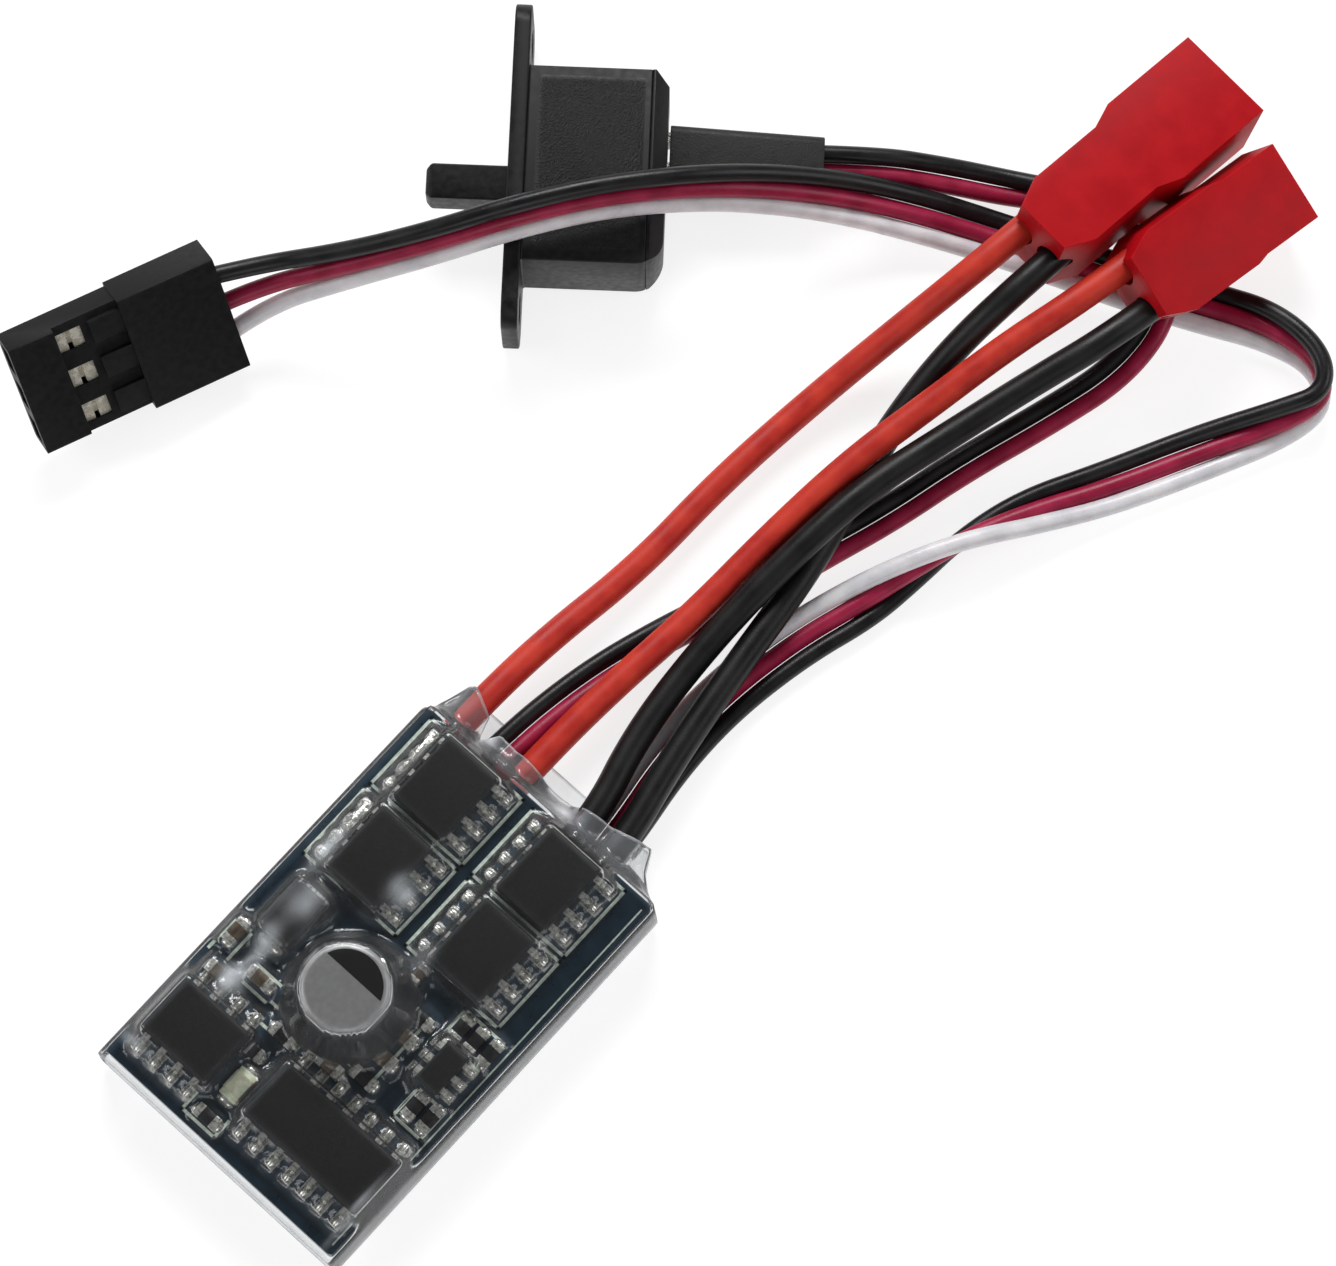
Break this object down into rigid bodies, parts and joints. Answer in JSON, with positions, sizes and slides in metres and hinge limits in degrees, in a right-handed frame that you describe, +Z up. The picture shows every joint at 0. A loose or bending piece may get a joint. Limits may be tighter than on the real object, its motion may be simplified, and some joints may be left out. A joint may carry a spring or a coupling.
{
  "type": "electronic speed controller",
  "caption": "Small brushed-motor speed controller board in a clear heat-shrink sleeve, with red power connectors, a servo lead with plug and a lead with a slide switch.",
  "frame": {"origin": "on the underside of the sleeve, under the middle of the circuit board", "axes": "+X along the board towards the power wires, +Y across the board towards the red battery wire, +Z up out of the component side"},
  "size_m": [0.0883, 0.0604, 0.0102],
  "materials": {
    "board_solder_mask": "glossy dark blue solder mask over copper",
    "clear_film": "clear shrunk film, glossy",
    "tinned_metal": "bright tin plate",
    "solder": "smooth reflowed solder",
    "chip_epoxy": "fine matt moulded epoxy",
    "can_aluminium": "satin drawn aluminium",
    "black_nylon": "matt moulded nylon",
    "black_rubber": "matt rubber",
    "winding_foil": "rolled foil and paper",
    "light_lens": "pale translucent lens",
    "resistor_black": "ceramic body with tinned ends",
    "ceramic_tan": "ceramic body with tinned ends",
    "red_silicone": "satin silicone rubber",
    "black_silicone": "satin silicone rubber",
    "white_pvc": "smooth extruded insulation",
    "crimson_pvc": "smooth extruded insulation",
    "black_pvc": "smooth extruded insulation",
    "red_nylon": "glossy moulded nylon",
    "contact_metal": "plated contact brass",
    "switch_plastic": "spark-textured black plastic",
    "black_shrink": "satin heat-shrink tube"
  },
  "bodies": {
    "controller": {"battery_connector_contacts": "contact_metal", "battery_connector_housing": "red_nylon", "battery_wire_black": "black_silicone", "battery_wire_red": "red_silicone", "capacitor_base": "black_nylon", "capacitor_bung": "black_rubber", "capacitor_can": "can_aluminium", "capacitor_feet": "tinned_metal", "capacitor_winding": "winding_foil", "chip_capacitors": "ceramic_tan", "chip_resistors": "resistor_black", "circuit_board": "board_solder_mask", "gate_driver": "chip_epoxy", "gate_driver_leads": "tinned_metal", "heat_shrink_sleeve": "clear_film", "microcontroller": "chip_epoxy", "microcontroller_leads": "tinned_metal", "motor_connector_contacts": "contact_metal", "motor_connector_housing": "red_nylon", "motor_wire_black": "black_silicone", "motor_wire_red": "red_silicone", "power_transistor_1": "chip_epoxy", "power_transistor_1_leads": "tinned_metal", "power_transistor_2": "chip_epoxy", "power_transistor_2_leads": "tinned_metal", "power_transistor_3": "chip_epoxy", "power_transistor_3_leads": "tinned_metal", "power_transistor_4": "chip_epoxy", "power_transistor_4_leads": "tinned_metal", "servo_plug_contacts": "contact_metal", "servo_plug_housing": "black_nylon", "servo_wire_black": "black_pvc", "servo_wire_red": "crimson_pvc", "servo_wire_white": "white_pvc", "solder_joints": "solder", "status_light": "light_lens", "surge_diode": "chip_epoxy", "surge_diode_terminals": "tinned_metal", "switch_back_plate": "switch_plastic", "switch_housing": "switch_plastic", "switch_terminals": "tinned_metal", "switch_wire_black": "black_pvc", "switch_wire_red": "crimson_pvc", "switch_wire_sleeve": "black_shrink", "voltage_regulator": "chip_epoxy", "voltage_regulator_leads": "tinned_metal"},
    "slider": {"switch_slider": "switch_plastic", "switch_contact_bridge": "contact_metal"}
  },
  "joints": [
    {"name": "switch_slide", "type": "slide", "parent": "controller", "child": "slider", "axis": [0.7673, 0.6413, 0], "range_m": [0, 0.0019]}
  ]
}
